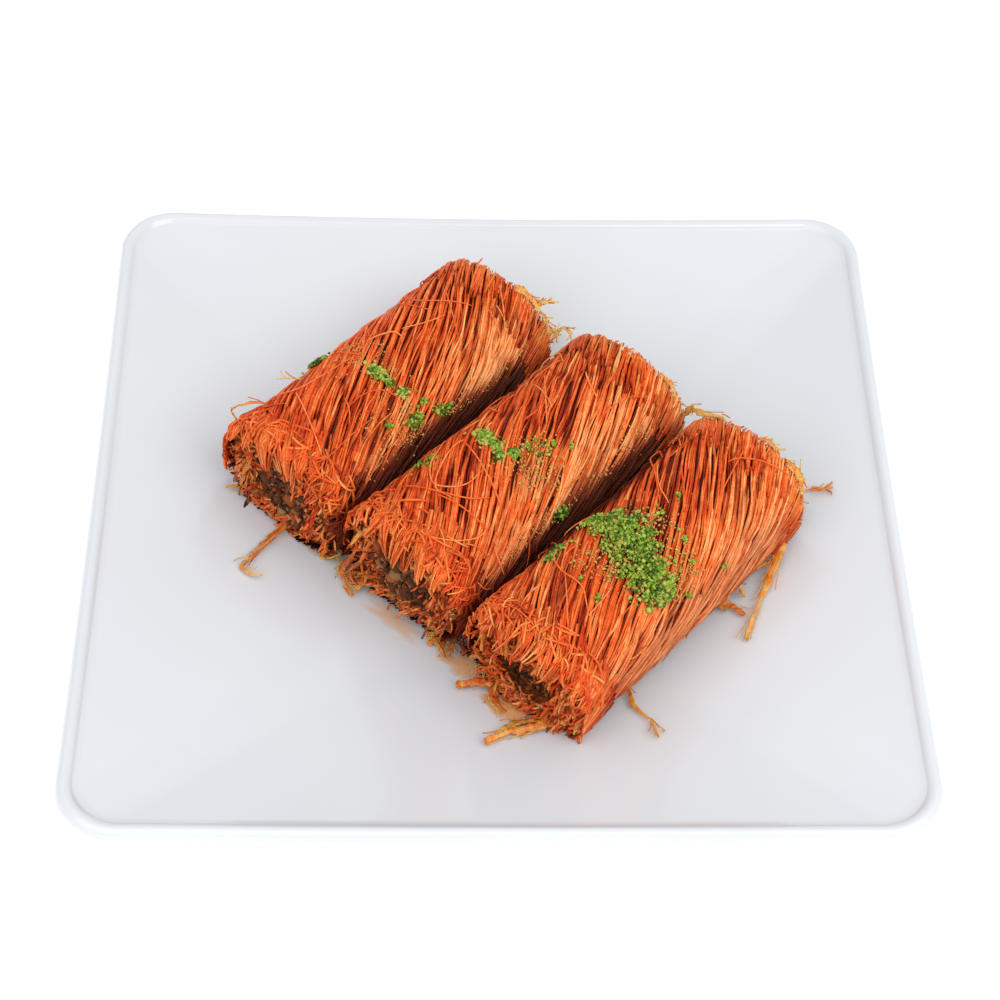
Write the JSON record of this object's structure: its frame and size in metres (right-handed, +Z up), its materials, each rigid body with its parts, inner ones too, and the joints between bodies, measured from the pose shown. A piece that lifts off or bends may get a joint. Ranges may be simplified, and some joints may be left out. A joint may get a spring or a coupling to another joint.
{
  "type": "burma kadayif on a square plate",
  "caption": "Twisted rolls of crisp pastry threads round a ground nut filling, topped with pistachio crumbs, side by side on a square white plate.",
  "frame": {"origin": "on the table under the middle of the plate", "axes": "+Z up; the plate's sides lie along X and Y, and the rolls run towards +X and +Y, one after the other from -X to +X"},
  "size_m": [0.18, 0.18, 0.0365],
  "materials": {
    "plate_glaze": "gloss",
    "pastry_threads": "satin",
    "nut_filling": "satin",
    "pistachio_crumbs": "matte"
  },
  "bodies": {
    "root": {"plate": "plate_glaze", "roll_1_wrap": "pastry_threads", "roll_2_wrap": "pastry_threads", "roll_3_wrap": "pastry_threads", "roll_1_filling": "nut_filling", "roll_2_filling": "nut_filling", "roll_3_filling": "nut_filling", "loose_shred": "pastry_threads"}
  },
  "joints": []
}
